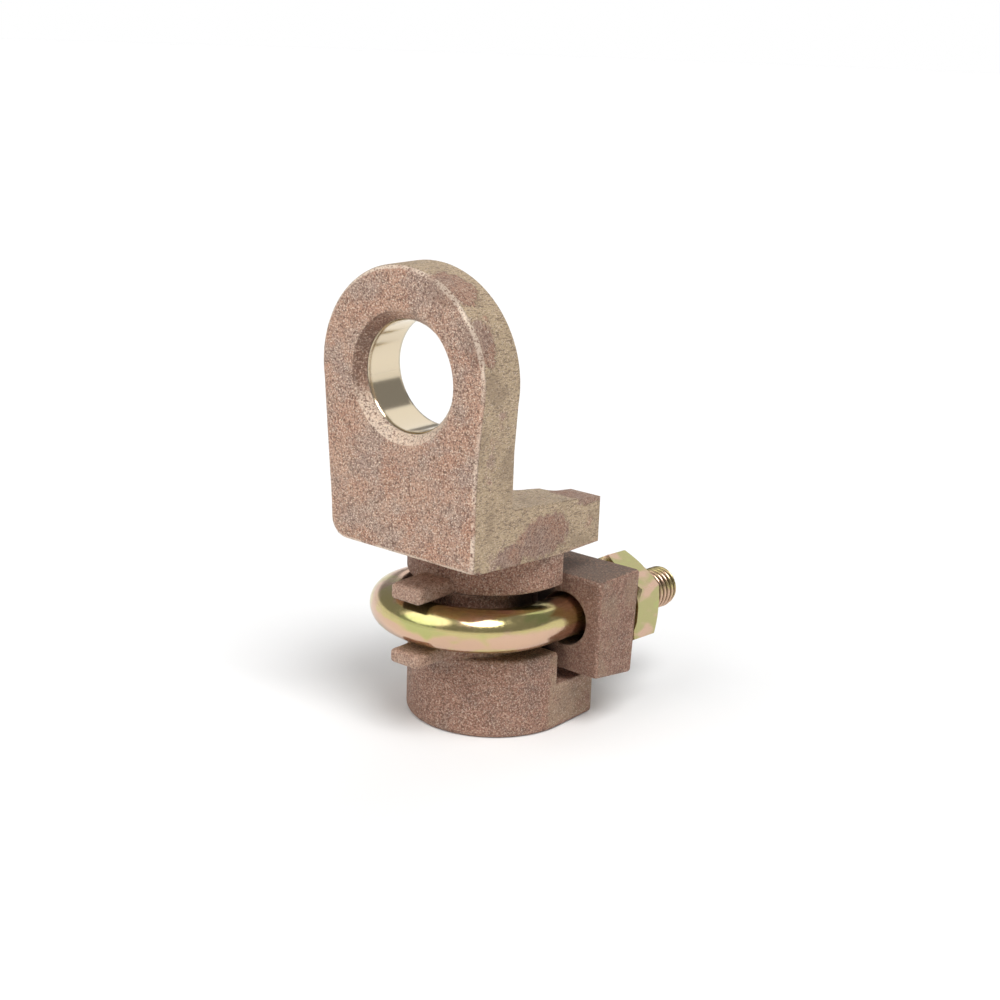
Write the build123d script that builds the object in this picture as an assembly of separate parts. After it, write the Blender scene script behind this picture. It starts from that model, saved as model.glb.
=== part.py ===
"""Earth rod clamp: cast lug body, U-bolt, clamping saddle and two nuts.

Millimetres, +Z up.  X runs across the lug, Y runs back from the lug face to
the open side of the rod channel, and the base of the barrel stands on z = 0.
The barrel's arc axis is the Z axis.
"""
import os
from math import cos, radians, tan

from build123d import *

# ---- driving dimensions (mm, degrees) ---------------------------------------
# lug plate
LUG_FRONT_Y = -32.45
LUG_BACK_Y = -20.0
LUG_HOLE_Z = 81.8
LUG_TOP_R = 22.5
LUG_TOP_X = -0.55
LUG_TOP_Z = 82.4
LUG_LEFT = ((-20.2, 43.9), (-20.5, 52.0), (-21.7, 66.0))
LUG_RIGHT = ((20.3, 43.9), (20.3, 60.0), (20.6, 68.0))
LUG_BOTTOM_Z = 43.9
LUG_LEFT_CORNER_R = 4.5
LUG_RIGHT_CORNER_R = 1.2
LUG_EDGE_R = 1.3
LUG_BACK_LEAN_DEG = 2.4
BORE_R = 11.65
BORE_MOUTH_R = 13.9
BORE_MOUTH_DEPTH = 3.0
LUG_ROOT_R = 1.8

# shelf and the two prongs behind it
SHELF_HALF = 20.5
SHELF_TOP_FRONT_Z = 55.5
SHELF_TOP_MID_Z = 54.5
PRONG_TOP_Z = 52.3
PRONG_UNDER_Z = 42.0
PRONG_END_Y = 11.3
POCKET_HALF = 12.2
POCKET_FRONT_Y = 3.5

# barrel, waist and collar
BARREL_R = 19.5
BARREL_BACK_Y = 12.5
BARREL_TOP_Z = 18.4
BARREL_EDGE_R = 1.2
COLLAR_R = 19.9
COLLAR_UNDER_FRONT_Z = 32.9
COLLAR_UNDER_BACK_Z = 34.3
WAIST_R = 12.0
WINDOW_FRONT_Y = -1.0
WINDOW_FLOOR_Z = 10.6
CHANNEL_R = 8.6
CHANNEL_MOUTH_HALF = 10.2

# ears that keep the bow of the U-bolt in its groove
EAR_HALF = 4.1
EAR_FRONT_Y = -30.4
EAR_UPPER_Z = (32.75, 36.4)
EAR_LOWER_Z = (18.2, 21.3)
EAR_EDGE_R = 0.9

# U-bolt
ROD_R = 4.85
LEG_X = 18.0
BOW_Y = -7.8
BOLT_Z = 27.4
LEG_END_Y = 41.6
LEG_END_CHAMFER = 1.0
DROOP_DEG = 3.4

# saddle
SADDLE_HALF = 27.8
SADDLE_FRONT_Y = 2.6
SADDLE_BACK_Y = 17.0
SADDLE_FRONT_Z = (14.9, 37.4)
SADDLE_BACK_Z = (13.7, 38.1)
SADDLE_HOLE_Z = BOLT_Z - 0.4
SADDLE_HOLE_R = 6.2
SADDLE_GROOVE_HALF = 10.6
SADDLE_GROOVE_DEPTH = 8.4
SADDLE_GROOVE_FLOOR_HALF = 2.6
SADDLE_EDGE_R = 0.9

# nuts
NUT_AF = 20.2
NUT_THICK = 8.3
NUT_BORE_R = 4.93
NUT_BORE_CHAMFER = 0.6
NUT_SEAT_GAP = 0.02


def plan(radius: float, back_y: float) -> Sketch:
    """U-shaped plan: round at the front, flat-sided back to back_y."""
    full = Circle(radius) + Pos(0, 30) * Rectangle(2 * radius, 60)
    return full & (Pos(0, back_y - 50) * Rectangle(200, 100))


def box(x0: float, x1: float, y0: float, y1: float, z0: float, z1: float) -> Part:
    """Box between two corners."""
    return Pos((x0 + x1) / 2, (y0 + y1) / 2, (z0 + z1) / 2) * Box(x1 - x0, y1 - y0, z1 - z0)


def edges_where(shape, test) -> ShapeList:
    """Edges whose centre point passes the test."""
    return ShapeList([e for e in shape.edges() if test(e.center())])


# ---- clamp body --------------------------------------------------------------
# lug plate, drawn in XZ and extruded back
lug_outline = Polygon(
    *LUG_LEFT[::-1], *LUG_RIGHT, (LUG_TOP_X + LUG_TOP_R, LUG_TOP_Z), (LUG_TOP_X - LUG_TOP_R, LUG_TOP_Z), align=None)
lug_outline = lug_outline + Pos(LUG_TOP_X, LUG_TOP_Z) * Circle(LUG_TOP_R)
foot = lug_outline.vertices().sort_by(Axis.Y)[:2].sort_by(Axis.X)
lug_outline = fillet(foot[0], LUG_LEFT_CORNER_R)
foot = lug_outline.vertices().filter_by(lambda v: v.X > 0).sort_by(Axis.Y)[0]
lug_outline = fillet(foot, LUG_RIGHT_CORNER_R)
lug = extrude(Plane.XZ.offset(-LUG_BACK_Y - 4) * lug_outline, LUG_BACK_Y + 4 - LUG_FRONT_Y)
# the back face leans, so the lug is thinner at its root
lean = Plane((0, LUG_BACK_Y, LUG_HOLE_Z - 6), x_dir=(1, 0, 0), z_dir=(0, 1, 0)).rotated((LUG_BACK_LEAN_DEG, 0, 0))
lug = split(lug, bisect_by=lean, keep=Keep.BOTTOM)
lug = fillet(lug.faces().sort_by(Axis.Y)[0].edges(), LUG_EDGE_R)
lug = fillet(lug.faces().sort_by(Axis.Y)[-1].edges(), LUG_EDGE_R)

# shelf and prongs, drawn in YZ and extruded across
side = Polygon(
    (LUG_FRONT_Y + 2.5, LUG_BOTTOM_Z), (WINDOW_FRONT_Y - 2, PRONG_UNDER_Z),
    (PRONG_END_Y, PRONG_UNDER_Z), (PRONG_END_Y, PRONG_TOP_Z),
    (0.0, SHELF_TOP_MID_Z - 0.8), (LUG_BACK_Y + 3, SHELF_TOP_FRONT_Z - 0.2),
    (LUG_BACK_Y - 1.0, SHELF_TOP_FRONT_Z), (LUG_BACK_Y - 1.0, SHELF_TOP_FRONT_Z + 3),
    (LUG_FRONT_Y + 2.5, SHELF_TOP_FRONT_Z + 3), align=None)
root = side.vertices().sort_by_distance((LUG_BACK_Y - 1.0, SHELF_TOP_FRONT_Z, 0))[0]
side = fillet(root, LUG_ROOT_R)
shelf = extrude(Plane.YZ * side, SHELF_HALF - 0.2, both=True)
shelf = fillet(edges_where(shelf, lambda c: c.Y > PRONG_END_Y - 0.1), 0.5)

barrel = extrude(plan(BARREL_R, BARREL_BACK_Y), BARREL_TOP_Z)
barrel = fillet(edges_where(barrel, lambda c: c.Z < 0.01 and c.Y < BARREL_BACK_Y - 0.01), BARREL_EDGE_R)
barrel = fillet(edges_where(barrel, lambda c: c.Z > BARREL_TOP_Z - 0.01 and c.Y < BARREL_BACK_Y - 0.01), 0.8)
barrel -= box(-60, 60, WINDOW_FRONT_Y, 60, WINDOW_FLOOR_Z, 60)
barrel = fillet(edges_where(barrel, lambda c: c.Y > BARREL_BACK_Y - 0.01 and c.Z > WINDOW_FLOOR_Z - 0.01), 0.8)

waist_plan = Pos(0, BOW_Y) * Circle(WAIST_R) + Pos(0, (BOW_Y + WINDOW_FRONT_Y) / 2) * Rectangle(
    2 * WAIST_R, WINDOW_FRONT_Y - BOW_Y)
waist_plan = waist_plan & (Pos(0, WINDOW_FRONT_Y - 50) * Rectangle(200, 100))
waist = Pos(0, 0, BARREL_TOP_Z - 2) * extrude(waist_plan, LUG_BOTTOM_Z - BARREL_TOP_Z)

collar = Pos(0, 0, 25) * extrude(plan(COLLAR_R, WINDOW_FRONT_Y), LUG_BOTTOM_Z + 1 - 25)
# underside of the collar rises towards the window
under = Polygon((-40, COLLAR_UNDER_FRONT_Z), (-20, COLLAR_UNDER_FRONT_Z), (WINDOW_FRONT_Y, COLLAR_UNDER_BACK_Z),
                (5, COLLAR_UNDER_BACK_Z), (5, 20), (-40, 20), align=None)
collar -= extrude(Plane.YZ * under, 40, both=True)
collar = fillet(edges_where(collar, lambda c: c.Z < COLLAR_UNDER_BACK_Z + 0.01 and c.Y < WINDOW_FRONT_Y - 0.01), 0.9)

ears = None
for low, high in (EAR_UPPER_Z, EAR_LOWER_Z):
    ear = box(-EAR_HALF, EAR_HALF, EAR_FRONT_Y, -14.0, low, high)
    ear = fillet(edges_where(ear, lambda c: c.Y < -14.01), EAR_EDGE_R)
    ears = ear if ears is None else ears + ear
body = lug + shelf + barrel + waist + collar + ears

# rod channel, open to the back
mouth = Polygon((-CHANNEL_R, 0), (CHANNEL_R, 0), (CHANNEL_MOUTH_HALF, BARREL_BACK_Y + 1),
                (-CHANNEL_MOUTH_HALF, BARREL_BACK_Y + 1), align=None)
body -= Pos(0, 0, -1) * extrude(Circle(CHANNEL_R) + mouth, 80)
pocket = Pos(0, POCKET_FRONT_Y + 20, 50) * Box(2 * POCKET_HALF, 40, 30)
pocket = fillet(edges_where(pocket, lambda c: c.Y < POCKET_FRONT_Y + 0.01 and abs(c.Z - 50) < 1), 2.5)
body -= pocket

# lug bore with its cast conical entry
bore_axis = Plane((0, LUG_FRONT_Y, LUG_HOLE_Z), x_dir=(1, 0, 0), z_dir=(0, 1, 0))
body -= bore_axis * Pos(0, 0, 10) * Cylinder(BORE_R, 40)
body -= bore_axis * Pos(0, 0, BORE_MOUTH_DEPTH / 2) * Cone(BORE_MOUTH_R, BORE_R, BORE_MOUTH_DEPTH)
clamp_body = body
clamp_body.label = "clamp_body"

# ---- U-bolt, saddle and nuts, drawn level ------------------------------------
bow = Pos(0, BOW_Y, BOLT_Z) * Rot(0, 0, 180) * Torus(LEG_X, ROD_R, major_angle=180, align=None)
u_bolt = bow
for side_sign in (1, -1):
    leg = Plane((side_sign * LEG_X, BOW_Y, BOLT_Z), x_dir=(1, 0, 0), z_dir=(0, 1, 0)) * Cylinder(
        ROD_R, LEG_END_Y - BOW_Y, align=(Align.CENTER, Align.CENTER, Align.MIN))
    leg = chamfer(edges_where(leg, lambda c: c.Y > LEG_END_Y - 0.01), LEG_END_CHAMFER)
    u_bolt = u_bolt + leg

# the front face stands upright at rest, the back face is square to the legs
front_lean = tan(radians(DROOP_DEG))
front_y = [SADDLE_FRONT_Y - (z - BOLT_Z) * front_lean for z in SADDLE_FRONT_Z]
saddle_side = Polygon(
    (front_y[0], SADDLE_FRONT_Z[0]), (SADDLE_BACK_Y, SADDLE_BACK_Z[0]),
    (SADDLE_BACK_Y, SADDLE_BACK_Z[1]), (front_y[1], SADDLE_FRONT_Z[1]), align=None)
saddle = extrude(Plane.YZ * saddle_side, SADDLE_HALF, both=True)
saddle = fillet(saddle.edges(), SADDLE_EDGE_R)
floor_y = SADDLE_FRONT_Y + SADDLE_GROOVE_DEPTH
groove = Polygon((-SADDLE_GROOVE_HALF, SADDLE_FRONT_Y - 2), (SADDLE_GROOVE_HALF, SADDLE_FRONT_Y - 2),
                 (SADDLE_GROOVE_HALF, SADDLE_FRONT_Y), (SADDLE_GROOVE_FLOOR_HALF, floor_y),
                 (-SADDLE_GROOVE_FLOOR_HALF, floor_y), (-SADDLE_GROOVE_HALF, SADDLE_FRONT_Y), align=None)
groove_cut = Pos(0, 0, -40) * extrude(groove, 160)
# the groove runs upright at rest, parallel to the rod
upright = Pos(0, BOW_Y - LEG_X, BOLT_Z) * Rot(DROOP_DEG, 0, 0) * Pos(0, LEG_X - BOW_Y, -BOLT_Z)
saddle -= upright * groove_cut
for side_sign in (1, -1):
    saddle -= Plane((side_sign * LEG_X, 0, SADDLE_HOLE_Z), x_dir=(1, 0, 0), z_dir=(0, 1, 0)) * Cylinder(
        SADDLE_HOLE_R, 80)

nut_y = SADDLE_BACK_Y + NUT_SEAT_GAP
corner_r = NUT_AF / 2 / cos(radians(30))


def make_nut(x: float) -> Part:
    """Hexagon nut on the leg at x, corners up and down, chamfered both faces."""
    seat = Plane((x, nut_y, BOLT_Z), x_dir=(1, 0, 0), z_dir=(0, 1, 0))
    hexagon = extrude(Rot(0, 0, 30) * RegularPolygon(corner_r, 6), NUT_THICK)
    turned = Cylinder(corner_r + 0.01, NUT_THICK, align=(Align.CENTER, Align.CENTER, Align.MIN))
    turned = chamfer(turned.edges().filter_by(GeomType.CIRCLE), length=0.85, length2=1.45)
    blank = hexagon & turned
    hole = Cylinder(NUT_BORE_R, NUT_THICK, align=(Align.CENTER, Align.CENTER, Align.MIN))
    blank = blank - hole
    for z, r1, r2 in ((NUT_BORE_CHAMFER / 2, NUT_BORE_R + NUT_BORE_CHAMFER, NUT_BORE_R),
                      (NUT_THICK - NUT_BORE_CHAMFER / 2, NUT_BORE_R, NUT_BORE_R + NUT_BORE_CHAMFER)):
        blank = blank - Pos(0, 0, z) * Cone(r1, r2, NUT_BORE_CHAMFER)
    return seat * blank


nut_right = make_nut(LEG_X)
nut_left = make_nut(-LEG_X)

# the loose bolt, saddle and nuts droop to the back about the bow's front
pivot = (0, BOW_Y - LEG_X, BOLT_Z)
droop = Pos(*pivot) * Rot(-DROOP_DEG, 0, 0) * Pos(-pivot[0], -pivot[1], -pivot[2])
u_bolt = droop * u_bolt
saddle = droop * saddle
nut_right = droop * nut_right
nut_left = droop * nut_left

os.makedirs("parts", exist_ok=True)
for name, shape in (("clamp_body", clamp_body), ("u_bolt", u_bolt), ("saddle", saddle),
                    ("nut_right", nut_right), ("nut_left", nut_left)):
    solids = shape.solids()
    bounds = shape.bounding_box()
    centre = shape.center(CenterOf.MASS)
    print(name, "solids", len(solids), "volume", round(shape.volume, 1),
          "min", [round(v, 2) for v in bounds.min], "max", [round(v, 2) for v in bounds.max],
          "centre", [round(v, 2) for v in centre])
    export_step(shape, f"parts/{name}.step")
pieces = {"clamp_body": clamp_body, "u_bolt": u_bolt, "saddle": saddle, "nut_right": nut_right, "nut_left": nut_left}
names = list(pieces)
for i, a in enumerate(names):
    for b in names[i + 1:]:
        common = pieces[a] & pieces[b]
        volume = common.volume if common is not None and hasattr(common, "volume") else 0
        if volume > 0.001:
            print("overlap", a, b, round(volume, 3))
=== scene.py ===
"""Earth rod clamp: finishes, threads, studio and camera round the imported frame.

The frame's parts are in metres.  Driving sizes here are in millimetres and pass
through MM once, where a mesh or a place is made.
"""
import logging
from dataclasses import dataclass, field
from enum import Enum
from math import cos, pi, radians, sin
from typing import Any, Optional, Sequence, Union

import bpy
from mathutils import Matrix, Vector


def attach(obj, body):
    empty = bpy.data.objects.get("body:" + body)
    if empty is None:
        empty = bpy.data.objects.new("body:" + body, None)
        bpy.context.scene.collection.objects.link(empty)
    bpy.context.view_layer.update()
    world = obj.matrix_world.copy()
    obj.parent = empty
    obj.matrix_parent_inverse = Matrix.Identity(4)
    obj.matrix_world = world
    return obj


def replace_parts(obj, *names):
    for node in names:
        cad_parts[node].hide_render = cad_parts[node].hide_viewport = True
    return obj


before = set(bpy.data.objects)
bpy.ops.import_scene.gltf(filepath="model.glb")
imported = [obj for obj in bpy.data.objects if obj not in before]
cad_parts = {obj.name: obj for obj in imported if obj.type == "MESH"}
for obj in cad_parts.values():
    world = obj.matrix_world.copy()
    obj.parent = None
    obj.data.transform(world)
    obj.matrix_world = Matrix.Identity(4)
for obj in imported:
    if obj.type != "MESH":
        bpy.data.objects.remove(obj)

log = logging.getLogger("earth_rod_clamp")

MM = 0.001
Triple = tuple[float, float, float]
Colour = Triple
Span = tuple[float, float]
FLATTEN: Triple = (1.0, 1.0, 0.0)


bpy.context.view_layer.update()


# ---------------------------------------------------------------- shader maths
class Graph:
    """Node tree of one material, built through sockets and one node method."""

    def __init__(self, material: bpy.types.Material) -> None:
        """Clear the material's tree.

        Args:
            material: material whose nodes are rebuilt.
        """
        material.use_nodes = True
        self.tree = material.node_tree
        self.tree.nodes.clear()

    def feed(self, socket: bpy.types.NodeSocket, value: Any) -> None:
        """Link a wrapped socket into an input, or set the input's own value.

        Args:
            socket: input to feed.
            value: a Wire, a number or a tuple.
        """
        if isinstance(value, Wire):
            self.tree.links.new(value.socket, socket)
        elif isinstance(value, tuple) and len(value) == 3 and socket.type == "RGBA":
            socket.default_value = (*value, 1.0)
        else:
            socket.default_value = value

    def node(
        self,
        kind: str,
        settings: Optional[dict[str, Any]] = None,
        inputs: Optional[dict[Union[str, int], Any]] = None,
        output: Union[str, int] = 0,
    ) -> "Wire":
        """Add a node.

        Args:
            kind: node type name.
            settings: attributes set on the node.
            inputs: values or wires by input name or index.
            output: output to hand back.

        Returns:
            The chosen output, wrapped.  The last node of a tree has none.
        """
        made = self.tree.nodes.new(kind)
        for name, value in (settings or {}).items():
            setattr(made, name, value)
        for key, value in (inputs or {}).items():
            self.feed(made.inputs[key], value)
        return Wire(self, made.outputs[output] if len(made.outputs) else None)

    def blend(self, factor: Any, first: Any, second: Any) -> "Wire":
        """Mix two colours.

        Args:
            factor: 0 gives the first, 1 the second.
            first: colour or wire.
            second: colour or wire.

        Returns:
            The mixed colour.
        """
        settings = {"data_type": "RGBA", "blend_type": "MIX", "clamp_factor": True}
        return self.node("ShaderNodeMix", settings, {0: factor, 6: first, 7: second}, 2)

    def show(self, shader: "Wire") -> None:
        """Make a shader the material's surface.

        Args:
            shader: the shader to show.
        """
        self.node("ShaderNodeOutputMaterial", None, {"Surface": shader})


class Wire:
    """Output socket with arithmetic."""

    def __init__(self, graph: Graph, socket: Optional[bpy.types.NodeSocket]) -> None:
        """Wrap an output.

        Args:
            graph: graph that owns the socket.
            socket: output socket.
        """
        self.graph = graph
        self.socket = socket

    def _math(self, operation: str, *values: Any) -> "Wire":
        """Run a Math node.

        Args:
            operation: the node's operation.
            values: wires or numbers, in order.

        Returns:
            The result.
        """
        settings = {"operation": operation}
        return self.graph.node("ShaderNodeMath", settings, dict(enumerate(values)))

    def _vector(
        self, operation: str, second: Union[str, int], value: Any, output: int = 0
    ) -> "Wire":
        """Run a Vector Math node on this vector.

        Args:
            operation: the node's operation.
            second: name or index of the second input.
            value: what feeds it.
            output: output to hand back.

        Returns:
            The result.
        """
        settings = {"operation": operation}
        inputs = {0: self, second: value}
        return self.graph.node("ShaderNodeVectorMath", settings, inputs, output)

    def __add__(self, other: Any) -> "Wire":
        """Sum."""
        return self._math("ADD", self, other)

    def __radd__(self, other: Any) -> "Wire":
        """Sum, number first."""
        return self._math("ADD", other, self)

    def __sub__(self, other: Any) -> "Wire":
        """Difference."""
        return self._math("SUBTRACT", self, other)

    def __rsub__(self, other: Any) -> "Wire":
        """Difference, number first."""
        return self._math("SUBTRACT", other, self)

    def __mul__(self, other: Any) -> "Wire":
        """Product."""
        return self._math("MULTIPLY", self, other)

    def __rmul__(self, other: Any) -> "Wire":
        """Product, number first."""
        return self._math("MULTIPLY", other, self)

    def __abs__(self) -> "Wire":
        """Size without sign."""
        return self._math("ABSOLUTE", self)

    def root(self) -> "Wire":
        """Square root."""
        return self._math("SQRT", self)

    def highest(self, other: Any) -> "Wire":
        """The higher of two values.

        Args:
            other: wire or number.

        Returns:
            The higher value.
        """
        return self._math("MAXIMUM", self, other)

    def ramp(self, span: Span) -> "Wire":
        """Smooth step from 0 at the span's first value to 1 at its second.

        Args:
            span: inputs where the step starts and ends, in either order.

        Returns:
            The stepped value.
        """
        settings = {"interpolation_type": "SMOOTHSTEP"}
        inputs = {0: self, 1: span[0], 2: span[1], 3: 0.0, 4: 1.0}
        return self.graph.node("ShaderNodeMapRange", settings, inputs)

    def part(self, index: int) -> "Wire":
        """One component of a vector.

        Args:
            index: 0, 1 or 2.

        Returns:
            The component.
        """
        return self.graph.node("ShaderNodeSeparateXYZ", None, {0: self}, index)

    def dot(self, other: Any) -> "Wire":
        """Dot product with another vector.

        Args:
            other: vector wire or tuple.

        Returns:
            The product.
        """
        return self._vector("DOT_PRODUCT", 1, other, 1)

    def scaled(self, factor: float) -> "Wire":
        """Vector times a number.

        Args:
            factor: the number.

        Returns:
            The scaled vector.
        """
        return self._vector("SCALE", "Scale", factor)

    def times(self, factors: Triple) -> "Wire":
        """Vector times another, part by part.

        Args:
            factors: the other vector.

        Returns:
            The product vector.
        """
        return self._vector("MULTIPLY", 1, factors)

    def less(self, other: Triple) -> "Wire":
        """Vector minus another.

        Args:
            other: the other vector.

        Returns:
            The difference.
        """
        return self._vector("SUBTRACT", 1, other)


@dataclass(frozen=True)
class Texture:
    """Size and make-up of one noise."""

    per_mm: float
    detail: float = 2.0
    roughness: float = 0.5

    def over(self, place: Wire) -> Wire:
        """Lay the noise over a place.

        Args:
            place: position, mm.

        Returns:
            The noise, between 0 and 1.
        """
        settings = {"noise_dimensions": "3D"}
        inputs = {
            "Vector": place,
            "Scale": self.per_mm,
            "Detail": self.detail,
            "Roughness": self.roughness,
        }
        return place.graph.node("ShaderNodeTexNoise", settings, inputs)


@dataclass(frozen=True)
class Layer:
    """Part of a value's range, and how strongly it shows."""

    span: Span
    strength: float

    def of(self, source: Wire) -> Wire:
        """Mask of the range.

        Args:
            source: the value.

        Returns:
            0 at the span's first value, the layer's strength at its second.
        """
        return source.ramp(self.span) * self.strength


def object_place(graph: Graph) -> Wire:
    """Position on the object.

    Args:
        graph: graph to build in.

    Returns:
        The position, mm.
    """
    return graph.node("ShaderNodeTexCoord", output="Object").scaled(1 / MM)


def principled(graph: Graph, colour: Any, metal: Any, rough: Any, normal: Wire) -> Wire:
    """Add the shader of a metal surface.

    Args:
        graph: graph to build in.
        colour: base colour.
        metal: metallic share.
        rough: roughness.
        normal: normal with its relief.

    Returns:
        The shader.
    """
    inputs = {"Base Color": colour, "Metallic": metal, "Roughness": rough, "Normal": normal}
    return graph.node("ShaderNodeBsdfPrincipled", None, inputs)


# ---------------------------------------------------------------- finishes
class Zone(Enum):
    """Which casting a skin is for."""

    CLAMP_BODY = "clamp body"
    SADDLE = "saddle"


@dataclass(frozen=True)
class Hollow:
    """Low place that the grinding missed."""

    centre: Triple
    stretch: Triple
    reach: float


@dataclass(frozen=True)
class Ground:
    """Where each casting is ground back to metal, sizes in mm."""

    patches: Texture = Texture(0.16, 3.0, 0.6)
    ragged: Texture = Texture(0.6, 3.0, 0.65)
    ragged_mm: float = 5.0
    fade_mm: Span = (-0.5, 0.7)
    saddle_ends: Span = (0.85, 0.97)
    saddle_patches: Layer = Layer((0.44, 0.62), 0.4)
    lug_edge: Span = (0.62, 0.3)
    lug_from_z: Span = (41.5, 43.0)
    not_under: Span = (-0.75, -0.3)
    lug_patches: Span = (0.27, 0.4)
    flats: Span = (0.93, 0.99)
    flats_from_y: Span = (-4.5, -2.0)
    flats_to_z: Span = (20.0, 18.8)
    flats_patches: Layer = Layer((0.34, 0.54), 0.6)
    hollows: tuple[Hollow, ...] = (
        Hollow((20.3, -9.0, 47.5), (1.0, 0.55, 1.0), 4.6),
        Hollow((20.3, -20.0, 45.5), (1.0, 0.7, 1.3), 3.4),
        Hollow((11.0, -29.5, 101.5), (0.8, 1.0, 1.0), 4.6),
        Hollow((19.5, -30.5, 92.0), (1.0, 1.2, 0.7), 3.6),
        Hollow((16.5, 7.5, 53.0), (0.7, 0.9, 2.6), 5.0),
    )

    def missed(self, place: Wire) -> Wire:
        """Hollows that the grinding missed.

        Args:
            place: position, mm.

        Returns:
            1 in the hollows.
        """
        ragged = self.ragged.over(place) * self.ragged_mm - self.ragged_mm / 2
        clear: Any = 1.0
        for hollow in self.hollows:
            offset = place.less(hollow.centre).times(hollow.stretch)
            away = offset.dot(offset).root() + ragged
            rim = (hollow.reach + self.fade_mm[0], hollow.reach + self.fade_mm[1])
            clear = clear * away.ramp(rim)
        return 1.0 - clear

    def saddle(self, place: Wire, facing: Wire) -> Wire:
        """Worn ends of the saddle.

        Args:
            place: position, mm.
            facing: unit normal in the row frame.

        Returns:
            1 where ground.
        """
        patches = self.patches.over(place)
        return abs(facing.part(0)).ramp(self.saddle_ends) * self.saddle_patches.of(patches)

    def body(self, place: Wire, facing: Wire, missed: Wire) -> Wire:
        """Ground edge of the lug and shelf, and flats at the barrel's back.

        Args:
            place: position, mm.
            facing: unit normal in the row frame.
            missed: the hollows' mask.

        Returns:
            1 where ground.
        """
        patches = self.patches.over(place)
        height = place.part(2)
        edge = abs(facing.part(1)).ramp(self.lug_edge) * height.ramp(self.lug_from_z)
        edge = edge * facing.part(2).ramp(self.not_under) * patches.ramp(self.lug_patches)
        flats = abs(facing.part(0)).ramp(self.flats) * place.part(1).ramp(self.flats_from_y)
        flats = flats * height.ramp(self.flats_to_z) * self.flats_patches.of(patches)
        return (edge * (1.0 - missed)).highest(flats)


@dataclass(frozen=True)
class Grit:
    """Values that every layer of a casting's skin shares."""

    place: Wire
    facing: Wire
    height: Wire
    grain: Wire
    sand: Wire
    cloud: Wire
    fleck: Wire
    low: Wire


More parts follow.
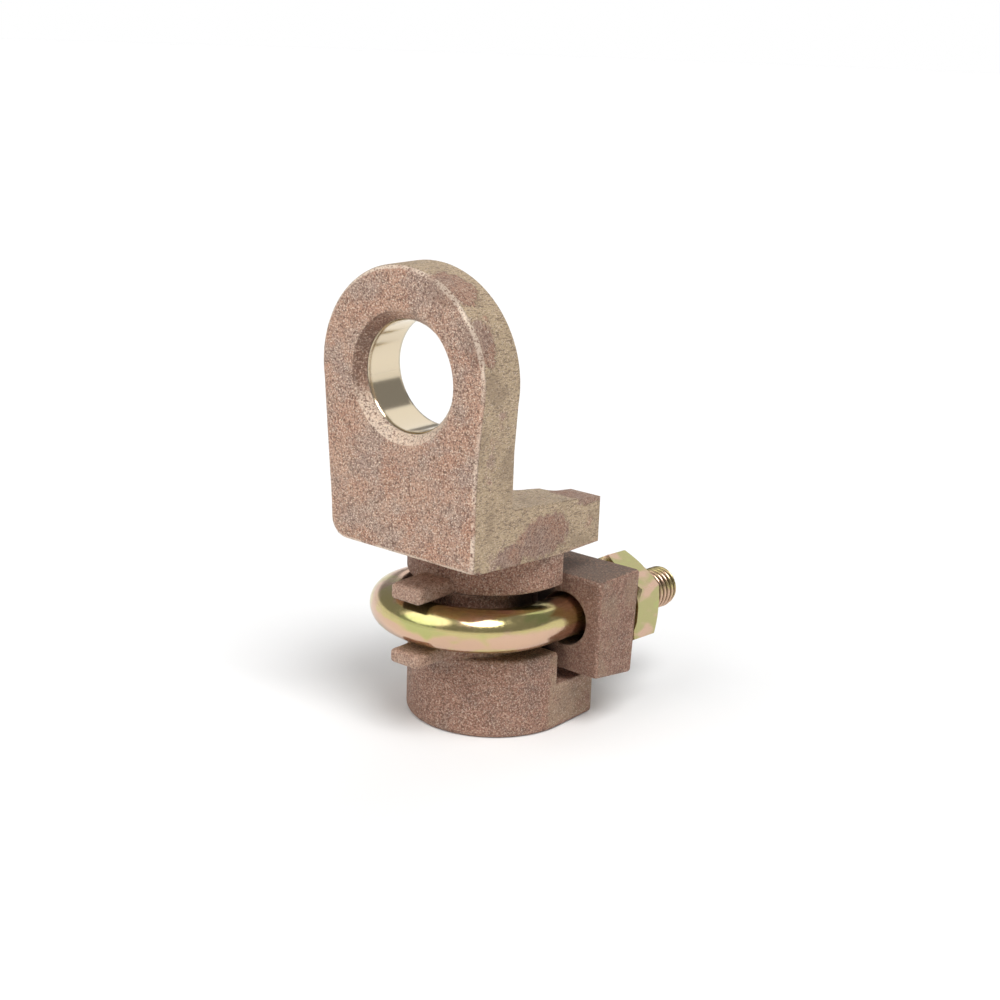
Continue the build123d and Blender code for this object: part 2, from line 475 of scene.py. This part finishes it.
@dataclass(frozen=True)
class CastBronze:
    """Sand-cast bronze with ground and machined places.

    Colours are linear, sizes in mm.
    """

    name: str
    zone: Zone
    skin: Colour = (0.53, 0.285, 0.19)
    skin_cool: Colour = (0.44, 0.31, 0.25)
    skin_dark: Colour = (0.17, 0.09, 0.062)
    skin_light: Colour = (0.66, 0.48, 0.36)
    low_skin: Colour = (0.34, 0.182, 0.13)
    low_cool: Colour = (0.23, 0.155, 0.125)
    # pale specks, also the colour of the painted highlights on the lug's rim and cone entry
    speck_and_highlight: Colour = (0.86, 0.72, 0.58)
    # colour of the painted shade in the groove, under the collar and behind the barrel
    shade: Colour = (0.02, 0.014, 0.011)
    bright: Colour = (0.54, 0.41, 0.27)
    bright_dark: Colour = (0.21, 0.145, 0.10)
    machined: Colour = (0.72, 0.61, 0.445)
    scale_top: Colour = (0.15, 0.125, 0.10)

    grain: Texture = Texture(2.1, 3.0, 0.72)
    sand: Texture = Texture(0.63, 4.0, 0.6)
    cloud: Texture = Texture(0.12, 3.0, 0.55)
    tint: Texture = Texture(0.1, 4.0, 0.7)
    fleck: Texture = Texture(3.15, 1.0, 0.5)
    pits: Texture = Texture(1.68, 0.0, 0.5)
    streak: Texture = Texture(2.73, 2.0, 0.6)
    streak_stretch: Triple = (1.0, 0.35, 1.3)

    # the lower casting is darker than the lug
    low_z: Span = (43.0, 39.0)
    cool: Span = (0.42, 0.6)
    cool_low: Span = (0.5, 0.66)
    cloudy: Layer = Layer((0.35, 0.7), 0.35)
    dark_grain: Layer = Layer((0.52, 0.38), 0.85)
    dark_sand: Layer = Layer((0.5, 0.34), 0.45)
    light_grain: Span = (0.53, 0.63)
    light_share: Span = (0.8, 0.3)
    flecks: Span = (0.58, 0.66)
    fleck_share: Span = (0.85, 0.4)
    pitted: Layer = Layer((0.3, 0.22), 0.7)
    edge_bend: Span = (0.01, 0.12)
    edge_worn: Layer = Layer((0.3, 0.6), 0.55)
    edge_wide: float = 1.7
    edge_soft: float = 1.1
    edge_samples: int = 6

    # saddle: scale on top, a darker tone all over, painted shade on the front and back faces,
    # and painted shade behind the barrel
    top: Span = (0.8, 0.95)
    scale: float = 0.95
    scale_grain: Layer = Layer((0.46, 0.6), 0.65)
    face: Layer = Layer((0.8, 0.95), 0.2)
    darkening: float = 0.26
    front: Span = (-0.5, -0.8)
    behind_x: Span = (16.5, 13.5)
    behind: float = 0.9

    # lug: painted highlight along the rim of the front face, partly wear
    rim_from: Span = (0.22, 0.45)
    rim_to: Span = (0.98, 0.88)
    rim_grain: Span = (0.36, 0.54)
    rim_cloud: Span = (0.34, 0.52)
    rim_above_z: Span = (42.0, 43.5)
    rim_share: float = 0.35
    rim_top: Layer = Layer((78.0, 92.0), 0.6)
    rim_foot: Layer = Layer((64.0, 54.0), 0.5)

    # ears (painted highlight), cone entry of the bore (painted highlight and shade), and
    # painted shade in the groove behind the bow and under the collar
    ear_y: Span = (-19.7, -20.7)
    ear_grain: Layer = Layer((0.3, 0.6), 0.4)
    bore_z: float = 81.8
    bore_r: float = 11.9
    entry_r: float = 14.6
    ring_fade: float = 0.12
    ring_front_y: Span = (-15.0, -16.0)
    entry_up: Span = (0.05, 0.45)
    entry_grain: Layer = Layer((0.35, 0.6), 0.8)
    entry_side: Span = (0.02, 0.4)
    entry_not_up: Span = (0.45, 0.1)
    entry_dark: Layer = Layer((0.7, 0.5), 0.7)
    groove_r: Span = (17.0, 13.0)
    groove_low_z: Span = (18.3, 19.2)
    groove_high_z: Span = (35.3, 34.2)
    groove_shade: float = 0.9
    under: Span = (-0.55, -0.85)
    under_low_z: Span = (30.0, 33.0)
    under_high_z: Span = (40.0, 38.5)
    under_shade: float = 0.85

    # ground metal
    ground: Ground = Ground()
    streaks: Layer = Layer((0.52, 0.38), 0.75)
    ground_flecks: Layer = Layer((0.58, 0.66), 0.6)
    ground_cloud: Layer = Layer((0.5, 0.68), 0.35)
    ground_low: float = 0.34
    missed_dark: float = 0.34

    # gloss and relief
    metal: float = 0.28
    metal_ground: float = 0.3
    rough: float = 0.62
    rough_ground: float = 0.12
    rough_grain: Layer = Layer((0.3, 0.7), 0.1)
    rough_machined: float = 0.13
    relief_sand: float = 0.5
    relief_grain: float = 0.5
    relief_cloud: float = 0.8
    relief_ground: float = 0.45
    relief_mm: float = 0.85

    def _grit(self, graph: Graph) -> Grit:
        """Lay the shared textures.

        Args:
            graph: graph to build in.

        Returns:
            The shared values.
        """
        place = object_place(graph)
        height = place.part(2)
        return Grit(
            place=place,
            facing=graph.node("ShaderNodeTexCoord", output="Normal"),
            height=height,
            grain=self.grain.over(place),
            sand=self.sand.over(place),
            cloud=self.cloud.over(place),
            fleck=self.fleck.over(place),
            low=height.ramp(self.low_z),
        )

    def _rounded(self, graph: Graph, radius: float) -> Wire:
        """Normal with the edges rounded.

        Args:
            graph: graph to build in.
            radius: rounding, mm.

        Returns:
            The normal.
        """
        settings = {"samples": self.edge_samples}
        return graph.node("ShaderNodeBevel", settings, {"Radius": radius * MM})

    def _radius(self, g: Grit) -> Wire:
        """Distance from the bore's axis.

        Args:
            g: shared values.

        Returns:
            The distance, mm.
        """
        x = g.place.part(0)
        dz = g.height - self.bore_z
        return (x * x + dz * dz).root()

    def _disc(self, g: Grit, radius: float) -> Wire:
        """Disc round the bore's axis, over the lug's thickness.

        Args:
            g: shared values.
            radius: the disc's radius, mm.

        Returns:
            1 inside the disc.
        """
        disc = self._radius(g).ramp((radius + self.ring_fade, radius))
        return disc * g.place.part(1).ramp(self.ring_front_y)

    def _entry(self, g: Grit) -> Wire:
        """Cone entry round the bore.

        Args:
            g: shared values.

        Returns:
            1 on the cone.
        """
        past_bore = self._radius(g).ramp((self.bore_r - self.ring_fade, self.bore_r))
        return self._disc(g, self.entry_r) * past_bore

    def _skin(self, graph: Graph, g: Grit) -> Wire:
        """Colour of the mould's skin on both castings.

        Args:
            graph: graph to build in.
            g: shared values.

        Returns:
            The colour.
        """
        tint = self.tint.over(g.place)
        low_skin = graph.blend(tint.ramp(self.cool_low), self.low_skin, self.low_cool)
        cloud_tone = graph.blend(g.low, self.skin_light, self.skin)
        light_share = self.light_share[0] - g.low * self.light_share[1]
        fleck_share = self.fleck_share[0] - g.low * self.fleck_share[1]
        flat = graph.node("ShaderNodeNewGeometry", output="Normal")
        bend = (1.0 - self._rounded(graph, self.edge_wide).dot(flat)).ramp(self.edge_bend)
        pits = self.pits.over(g.place)

        skin = graph.blend(tint.ramp(self.cool), self.skin, self.skin_cool)
        skin = graph.blend(g.low, skin, low_skin)
        skin = graph.blend(self.cloudy.of(g.cloud), skin, cloud_tone)
        skin = graph.blend(self.dark_grain.of(g.grain), skin, self.skin_dark)
        skin = graph.blend(self.dark_sand.of(g.sand), skin, self.skin_dark)
        skin = graph.blend(g.grain.ramp(self.light_grain) * light_share, skin, self.skin_light)
        skin = graph.blend(g.fleck.ramp(self.flecks) * fleck_share, skin, self.speck_and_highlight)
        skin = graph.blend(self.pitted.of(pits), skin, self.skin_dark)
        return graph.blend(bend * self.edge_worn.of(g.sand), skin, self.skin_light)

    def _saddle_skin(self, graph: Graph, g: Grit, skin: Wire) -> Wire:
        """Give the saddle scale on its top and a darker tone, and paint shade on its front and
        back faces and on the front behind the barrel.

        Args:
            graph: graph to build in.
            g: shared values.
            skin: colour so far.

        Returns:
            The colour.
        """
        scale = g.facing.part(2).ramp(self.top) * (self.scale - self.scale_grain.of(g.grain))
        skin = graph.blend(scale, skin, self.scale_top)
        # darker tone all over, plus painted shade on the faces that face front and back
        darkening = self.darkening + self.face.of(abs(g.facing.part(1)))
        skin = graph.blend(darkening, skin, self.skin_dark)
        # painted shade on the front faces behind the barrel
        behind = g.facing.part(1).ramp(self.front) * abs(g.place.part(0)).ramp(self.behind_x)
        return graph.blend(behind * self.behind, skin, self.shade)

    def _body_skin(self, graph: Graph, g: Grit, skin: Wire) -> Wire:
        """Paint highlight on the lug's rim (partly wear), the ears and the cone entry's lower
        part, and paint shade on the entry's left side, in the groove and under the collar.

        Args:
            graph: graph to build in.
            g: shared values.
            skin: colour so far.

        Returns:
            The colour.
        """
        slant = abs(g.facing.part(1))
        # painted highlight along the rim of the front face, partly wear, strongest near the top
        # and the foot
        rim_wear_and_highlight = self.rim_share + self.rim_top.of(g.height) + self.rim_foot.of(g.height)
        rim = slant.ramp(self.rim_from) * slant.ramp(self.rim_to)
        rim = rim * (1.0 - self._disc(g, self.entry_r))
        rim = rim * g.grain.ramp(self.rim_grain) * g.cloud.ramp(self.rim_cloud)
        skin = graph.blend(rim * rim_wear_and_highlight * g.height.ramp(self.rim_above_z), skin, self.speck_and_highlight)

        # painted highlight on the fronts of the ears
        ears = g.place.part(1).ramp(self.ear_y) * g.low
        skin = graph.blend(ears * self.ear_grain.of(g.grain), skin, self.skin_light)

        entry = self._entry(g)
        side, up = g.facing.part(0), g.facing.part(2)
        # painted highlight on the upward-facing part of the cone entry
        lit = entry * up.ramp(self.entry_up)
        skin = graph.blend(lit * self.entry_grain.of(g.grain), skin, self.speck_and_highlight)
        # painted shade on the left side of the cone entry
        dark = entry * side.ramp(self.entry_side) * up.ramp(self.entry_not_up)
        skin = graph.blend(dark * self.entry_dark.of(g.grain), skin, self.skin_dark)

        # painted shade in the groove behind the bow
        across = g.place.times(FLATTEN)
        inside = across.dot(across).root().ramp(self.groove_r)
        shut = g.height.ramp(self.groove_low_z) * g.height.ramp(self.groove_high_z)
        skin = graph.blend(inside * shut * self.groove_shade, skin, self.shade)
        # painted shade under the collar
        under = g.height.ramp(self.under_low_z) * g.height.ramp(self.under_high_z)
        under = under * g.facing.part(2).ramp(self.under)
        return graph.blend(under * self.under_shade, skin, self.shade)

    def _ground_metal(self, graph: Graph, g: Grit) -> Wire:
        """Colour of the ground metal.

        Args:
            graph: graph to build in.
            g: shared values.

        Returns:
            The colour.
        """
        streak = self.streak.over(g.place.times(self.streak_stretch))
        tone = graph.blend(self.streaks.of(streak), self.bright, self.bright_dark)
        tone = graph.blend(self.ground_flecks.of(g.fleck), tone, self.speck_and_highlight)
        tone = graph.blend(self.ground_cloud.of(g.cloud), tone, self.bright_dark)
        return graph.blend(g.low * self.ground_low, tone, self.bright_dark)

    def make(self) -> bpy.types.Material:
        """Build the material.

        Returns:
            The finished material.
        """
        material = bpy.data.materials.new(self.name)
        graph = Graph(material)
        g = self._grit(graph)
        skin = self._skin(graph, g)
        if self.zone is Zone.SADDLE:
            bare = self.ground.saddle(g.place, g.facing)
            skin = self._saddle_skin(graph, g, skin)
        else:
            missed = self.ground.missed(g.place)
            bare = self.ground.body(g.place, g.facing, missed)
            skin = self._body_skin(graph, g, skin)
            skin = graph.blend(missed * self.missed_dark, skin, self.skin_dark)

        colour = graph.blend(bare, skin, self._ground_metal(graph, g))
        metal = self.metal + bare * self.metal_ground
        rough = self.rough - bare * self.rough_ground + self.rough_grain.of(g.grain)
        relief = g.sand * self.relief_sand + g.grain * self.relief_grain
        relief = relief + g.cloud * self.relief_cloud
        relief = relief * (1.0 - bare * self.relief_ground)
        if self.zone is Zone.CLAMP_BODY:
            bore = self._disc(g, self.bore_r)
            colour = graph.blend(bore, colour, self.machined)
            metal = metal * (1.0 - bore) + bore
            rough = rough * (1.0 - bore) + bore * self.rough_machined
            relief = relief * (1.0 - bore)

        inputs = {
            "Strength": 1.0,
            "Distance": self.relief_mm * MM,
            "Height": relief,
            "Normal": self._rounded(graph, self.edge_soft),
        }
        bump = graph.node("ShaderNodeBump", None, inputs)
        graph.show(principled(graph, colour, metal, rough, bump))
        return material


@dataclass(frozen=True)
class YellowZinc:
    """Yellow-passivated zinc over steel, with pink and green bands."""

    name: str
    gold: Colour = (0.60, 0.50, 0.23)
    pink: Colour = (0.66, 0.42, 0.33)
    green: Colour = (0.43, 0.46, 0.17)
    # colour of the painted shade in the thread roots
    root: Colour = (0.10, 0.065, 0.03)
    roughness: float = 0.15
    belt: float = 0.16
    bands: Texture = Texture(0.11, 2.0, 0.5)
    bands_stretch: Triple = (1.0, 0.7, 1.6)
    fine: Texture = Texture(1.1, 2.0, 0.5)
    waves: Texture = Texture(0.8, 2.0, 0.5)
    wave_mm: float = 0.01
    wave_strength: float = 0.35
    belt_low: Span = (-0.75, -0.35)
    belt_high: Span = (0.25, -0.05)
    pink_bands: Layer = Layer((0.5, 0.64), 0.8)
    green_bands: Layer = Layer((0.44, 0.34), 0.7)
    pink_fine: Layer = Layer((0.6, 0.75), 0.25)
    rough_fine: Layer = Layer((0.35, 0.7), 0.08)
    root_span: Span = (0.0, 0.75)
    root_rough: float = 0.2

    def make(self) -> bpy.types.Material:
        """Build the material.

        Returns:
            The finished material.
        """
        material = bpy.data.materials.new(self.name)
        graph = Graph(material)
        place = object_place(graph)
        bands = self.bands.over(place.times(self.bands_stretch))
        fine = self.fine.over(place)
        tilt = graph.node("ShaderNodeTexCoord", output="Normal").part(2)
        belt = tilt.ramp(self.belt_low) * tilt.ramp(self.belt_high)
        colour = graph.blend(self.pink_bands.of(bands + belt * self.belt), self.gold, self.pink)
        colour = graph.blend(self.green_bands.of(bands), colour, self.green)
        colour = graph.blend(self.pink_fine.of(fine), colour, self.pink)
        # painted shade in the thread roots, deepest at the root
        attribute = {"attribute_name": "thread_root"}
        thread = graph.node("ShaderNodeAttribute", attribute, None, "Fac")
        colour = graph.blend(thread.ramp(self.root_span), colour, self.root)
        rough = self.roughness + self.rough_fine.of(fine) + thread * self.root_rough
        inputs = {
            "Strength": self.wave_strength,
            "Distance": self.wave_mm * MM,
            "Height": self.waves.over(place),
        }
        bump = graph.node("ShaderNodeBump", None, inputs)
        graph.show(principled(graph, colour, 1.0, rough, bump))
        return material


@dataclass(frozen=True)
class Paper:
    """Plain pale floor."""

    name: str = "pale_floor"
    colour: Colour = (0.9, 0.9, 0.9)
    roughness: float = 0.9

    def make(self) -> bpy.types.Material:
        """Build the material.

        Returns:
            The finished material.
        """
        material = bpy.data.materials.new(self.name)
        graph = Graph(material)
        inputs = {"Base Color": self.colour, "Roughness": self.roughness}
        graph.show(graph.node("ShaderNodeBsdfPrincipled", None, inputs))
        return material


@dataclass(frozen=True)
class WhiteWall:
    """White backdrop that is seen and mirrored, and lights nothing else."""

    name: str = "white_wall"
    strength: float = 1.0

    def make(self) -> bpy.types.Material:
        """Build the material.

        Returns:
            The finished material.
        """
        material = bpy.data.materials.new(self.name)
        graph = Graph(material)
        seen = graph.node("ShaderNodeLightPath", output="Is Camera Ray")
        seen = seen + graph.node("ShaderNodeLightPath", output="Is Glossy Ray")
        seen = seen + graph.node("ShaderNodeLightPath", output="Is Transmission Ray")
        clear = graph.node("ShaderNodeBsdfTransparent")
        white = graph.node("ShaderNodeEmission", None, {"Strength": self.strength})
        graph.show(graph.node("ShaderNodeMixShader", None, {0: seen, 1: clear, 2: white}))
        return material


# ---------------------------------------------------------------- meshes
def add_mesh(
    name: str,
    points: Sequence[Vector],
    faces: Sequence[Sequence[int]],
    material: bpy.types.Material,
    smooth: bool = True,
) -> bpy.types.Object:
    """Make an object from points and faces.

    Args:
        name: object name.
        points: places in metres.
        faces: point indices of each face.
        material: finish.
        smooth: shade smooth.

    Returns:
        The linked object.
    """
    mesh = bpy.data.meshes.new(name)
    mesh.from_pydata([tuple(p) for p in points], [], faces)
    mesh.materials.append(material)
    if smooth:
        mesh.polygons.foreach_set("use_smooth", [True] * len(mesh.polygons))
    mesh.update()
    made = bpy.data.objects.new(name, mesh)
    bpy.context.scene.collection.objects.link(made)
    return made


def finish_node(node: str, material: bpy.types.Material) -> None:
    """Give a CAD node its finish.

    Args:
        node: node name.
        material: finish.
    """
    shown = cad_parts[node]
    shown.data.materials.clear()
    shown.data.materials.append(material)
    log.info("dressed %s in %s", node, material.name)


@dataclass(frozen=True)
class Droop:
    """Rest attitude of the loose U-bolt, saddle and nuts about the bow's front."""

    pivot_y: float = -25.8
    pivot_z: float = 27.4
    degrees: float = 3.4

    def matrix(self) -> Matrix:
        """Rotation about the pivot.

        Returns:
            The 4x4 matrix, metres.
        """
        pivot = Vector((0.0, self.pivot_y, self.pivot_z)) * MM
        turn = Matrix.Rotation(radians(-self.degrees), 4, "X")
        return Matrix.Translation(pivot) @ turn @ Matrix.Translation(-pivot)


@dataclass(frozen=True)
class Ring:
    """One ring of the bolt's skin, before the droop, mm."""

    centre: Vector
    inward: Vector
    leg_y: Optional[float] = None
    hand: float = 1.0


@dataclass
class UBolt:
    """U-bolt with rolled threads on both legs."""

    rod_r: float = 4.85
    leg_x: float = 18.0
    bow_y: float = -7.8
    level_z: float = 27.4
    end_y: float = 41.6
    thread_from_y: float = 10.0
    pitch: float = 1.5
    thread_depth: float = 0.78
    crest: float = 0.12
    flank: float = 0.76
    run_in_pitches: float = 2.0
    chamfer: float = 1.0
    around: int = 72
    bow_rings: int = 96
    plain_rows: int = 8
    rows_per_pitch: int = 12
    droop: Droop = field(default_factory=Droop)

    def _thread_r(self, y: float, angle: float) -> float:
        """Radius of the threaded leg.

        Args:
            y: distance along the leg, mm.
            angle: angle from +Z towards the thread's hand, radians.

        Returns:
            The radius, mm.
        """
        turn = (y / self.pitch - angle / (2 * pi)) % 1.0
        rise = abs(turn * 2.0 - 1.0)
        height = min(max((rise - self.crest) / self.flank, 0.0), 1.0)
        run_in = self.run_in_pitches * self.pitch
        fade = min(max((y - self.thread_from_y) / run_in, 0.0), 1.0)
        groove = self.thread_depth * (1.0 - height) * fade
        past = y - (self.end_y - self.chamfer)
        limit = self.rod_r - max(past, 0.0)
        return min(self.rod_r - groove, limit)

    def _reach(self, ring: Ring, angle: float) -> float:
        """Radius of a ring.

        Args:
            ring: the ring.
            angle: angle from +Z towards the bow's inside, radians.

        Returns:
            The radius, mm.
        """
        if ring.leg_y is None:
            return self.rod_r
        return self._thread_r(ring.leg_y, ring.hand * angle)

    def _leg_rows(self) -> list[float]:
        """Places of a leg's rings, from the bow to the end.

        Returns:
            The distances along the leg, mm.
        """
        plain = (self.thread_from_y - self.bow_y) / self.plain_rows
        rows = [self.bow_y + i * plain for i in range(self.plain_rows + 1)]
        threaded = self.end_y - self.thread_from_y
        steps = int(threaded / self.pitch * self.rows_per_pitch)
        return rows + [self.thread_from_y + (i + 1) * threaded / steps for i in range(steps)]

    def _rings(self) -> list[Ring]:
        """Rings from the left leg's end, round the bow, to the right leg's end.

        Returns:
            The rings.
        """
        rows = self._leg_rows()
        rings: list[Ring] = []
        for y in reversed(rows):
            centre = Vector((-self.leg_x, y, self.level_z))
            rings.append(Ring(centre, Vector((1.0, 0.0, 0.0)), y, 1.0))
        for i in range(1, self.bow_rings):
            t = pi + pi * i / self.bow_rings
            x, y = self.leg_x * cos(t), self.bow_y + self.leg_x * sin(t)
            rings.append(Ring(Vector((x, y, self.level_z)), Vector((-cos(t), -sin(t), 0.0))))
        for y in rows:
            centre = Vector((self.leg_x, y, self.level_z))
            rings.append(Ring(centre, Vector((-1.0, 0.0, 0.0)), y, -1.0))
        return rings

    def _skin(self, rings: Sequence[Ring]) -> tuple[list[Vector], list[float]]:
        """Points round every ring, and how deep each lies in the thread.

        Args:
            rings: the rings in order.

        Returns:
            The points in metres, and the depths from 0 to 1.
        """
        up = Vector((0.0, 0.0, 1.0))
        move = self.droop.matrix()
        points: list[Vector] = []
        depths: list[float] = []
        for ring in rings:
            threaded = self.thread_from_y < ring.centre.y < self.end_y - self.chamfer
            for k in range(self.around):
                angle = 2 * pi * k / self.around
                spoke = up * cos(angle) + ring.inward * sin(angle)
                reach = self._reach(ring, angle)
                points.append(move @ ((ring.centre + spoke * reach) * MM))
                depths.append((self.rod_r - reach) / self.thread_depth if threaded else 0.0)
        return points, depths

    def _faces(self, count: int) -> list[tuple[int, ...]]:
        """Faces between the rings, and the two ends last.

        Args:
            count: number of rings.

        Returns:
            Point indices of each face.
        """
        n = self.around
        faces: list[tuple[int, ...]] = []
        for i in range(count - 1):
            for k in range(n):
                a, b = i * n + k, i * n + (k + 1) % n
                faces.append((a, b, b + n, a + n))
        last = (count - 1) * n
        faces.append(tuple(reversed(range(n))))
        faces.append(tuple(range(last, last + n)))
        return faces

    def build(self, material: bpy.types.Material) -> None:
        """Make the bolt and hang it on its body.

        Args:
            material: finish.
        """
        rings = self._rings()
        points, depths = self._skin(rings)
        made = add_mesh("u_bolt_threaded", points, self._faces(len(rings)), material)
        depth = made.data.attributes.new("thread_root", "FLOAT", "POINT")
        depth.data.foreach_set("value", depths)
        made.data.polygons[-1].use_smooth = False
        made.data.polygons[-2].use_smooth = False
        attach(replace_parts(made, "u_bolt"), "u_bolt")
        log.info("made %s with %d points", made.name, len(points))


@dataclass
class Castings:
    """The two bronze castings."""

    body: CastBronze = CastBronze("cast_bronze_body", Zone.CLAMP_BODY)
    saddle: CastBronze = CastBronze("cast_bronze_saddle", Zone.SADDLE)

    def build(self) -> None:
        """Give both castings their skins."""
        finish_node("clamp_body", self.body.make())
        finish_node("saddle", self.saddle.make())


@dataclass
class Fixings:
    """U-bolt and nuts."""

    bolt: UBolt = field(default_factory=UBolt)
    bolt_zinc: YellowZinc = YellowZinc("yellow_zinc_bolt")
    nut_zinc: YellowZinc = YellowZinc(
        "yellow_zinc_nut",
        gold=(0.44, 0.405, 0.185),
        roughness=0.16,
        belt=0.0,
        bands=Texture(0.16, 2.0, 0.5),
    )

    def build(self) -> None:
        """Make the bolt and finish the nuts."""
        self.bolt.build(self.bolt_zinc.make())
        nut_finish = self.nut_zinc.make()
        for node in ("nut_right", "nut_left"):
            finish_node(node, nut_finish)


# ---------------------------------------------------------------- studio
def bearing(azimuth: float, elevation: float) -> Vector:
    """Direction from the object, 0 in front of the lug and 90 to its right.

    Args:
        azimuth: degrees round +Z.
        elevation: degrees over the floor.

    Returns:
        The unit vector.
    """
    a, e = radians(azimuth), radians(elevation)
    return Vector((sin(a) * cos(e), -cos(a) * cos(e), sin(e)))


@dataclass(frozen=True)
class Lamp:
    """Wide soft lamp far from the object, given by its bearing and height."""

    name: str
    azimuth: float
    elevation: float
    spread: float
    strength: float

    def build(self) -> None:
        """Add the lamp."""
        toward = bearing(self.azimuth, self.elevation)
        data = bpy.data.lights.new(self.name, "SUN")
        data.energy = self.strength
        data.angle = radians(self.spread)
        lamp = bpy.data.objects.new(self.name, data)
        lamp.location = toward
        lamp.rotation_euler = toward.to_track_quat("Z", "Y").to_euler()
        bpy.context.scene.collection.objects.link(lamp)


@dataclass(frozen=True)
class Camera:
    """Camera placed by bearing, height and distance from a target.

    Sizes are in mm, but the clip is in metres.
    """

    azimuth: float = 38.76
    elevation: float = 17.26
    roll: float = 1.99
    distance: float = 382.0
    target: Triple = (0.64, 0.51, 42.4)
    lens: float = 61.17
    sensor: float = 36.0
    shift_y: float = 0.03
    clip: Span = (0.01, 400.0)

    def build(self) -> None:
        """Add the camera and make it the scene's."""
        a, r = radians(self.azimuth), radians(self.roll)
        back = bearing(self.azimuth, self.elevation)
        level = Vector((cos(a), sin(a), 0.0))
        above = back.cross(level)
        right = level * cos(r) + above * sin(r)
        up = above * cos(r) - level * sin(r)
        place = (Vector(self.target) + back * self.distance) * MM
        data = bpy.data.cameras.new("camera")
        data.lens = self.lens
        data.sensor_width = self.sensor
        data.shift_y = self.shift_y
        data.clip_start, data.clip_end = self.clip
        camera = bpy.data.objects.new("camera", data)
        turn = Matrix((right, up, back)).transposed().to_4x4()
        camera.matrix_world = Matrix.Translation(place) @ turn
        bpy.context.scene.collection.objects.link(camera)
        bpy.context.scene.camera = camera


@dataclass
class Studio:
    """Pale floor, white ring wall, soft lamps and a plain world, in metres."""

    floor_half: float = 60.0
    world_grey: float = 0.95
    world_strength: float = 0.3
    wall_away: float = 5.0
    wall_high: float = 0.9
    wall_sides: int = 64
    lamps: tuple[Lamp, ...] = (
        Lamp("key", 62.0, 58.0, 34.0, 2.3),
        Lamp("fill_left", -20.0, 40.0, 50.0, 1.05),
        Lamp("back", 200.0, 40.0, 50.0, 0.45),
    )

    def _floor(self) -> None:
        """Add the floor."""
        h = self.floor_half
        corners = [Vector((x, y, 0.0)) for x, y in ((-h, -h), (h, -h), (h, h), (-h, h))]
        add_mesh("floor", corners, [(0, 1, 2, 3)], Paper().make(), smooth=False)

    def _wall(self) -> None:
        """Add the ring wall."""
        n = self.wall_sides
        turns = [2 * pi * i / n for i in range(n)]
        ring = [Vector((cos(t), sin(t), 0.0)) * self.wall_away for t in turns]
        ring += [p + Vector((0.0, 0.0, self.wall_high)) for p in ring]
        sides = [(i, (i + 1) % n, (i + 1) % n + n, i + n) for i in range(n)]
        add_mesh("backdrop", ring, sides, WhiteWall().make(), smooth=False)

    def _world(self) -> None:
        """Add the world's even light."""
        world = bpy.data.worlds.new("plain_world")
        world.use_nodes = True
        background = world.node_tree.nodes["Background"]
        background.inputs["Color"].default_value = (*([self.world_grey] * 3), 1.0)
        background.inputs["Strength"].default_value = self.world_strength
        bpy.context.scene.world = world

    def build(self) -> None:
        """Add the floor, wall, lamps, world and view settings."""
        self._floor()
        self._wall()
        for lamp in self.lamps:
            lamp.build()
        self._world()
        bpy.context.scene.view_settings.view_transform = "Standard"


def main() -> None:
    """Build every piece in order."""
    logging.basicConfig(level=logging.INFO, format="%(message)s")
    for piece in (Castings(), Fixings(), Studio(), Camera()):
        piece.build()
        log.info("built %s", type(piece).__name__)


if __name__ == "__main__":
    main()
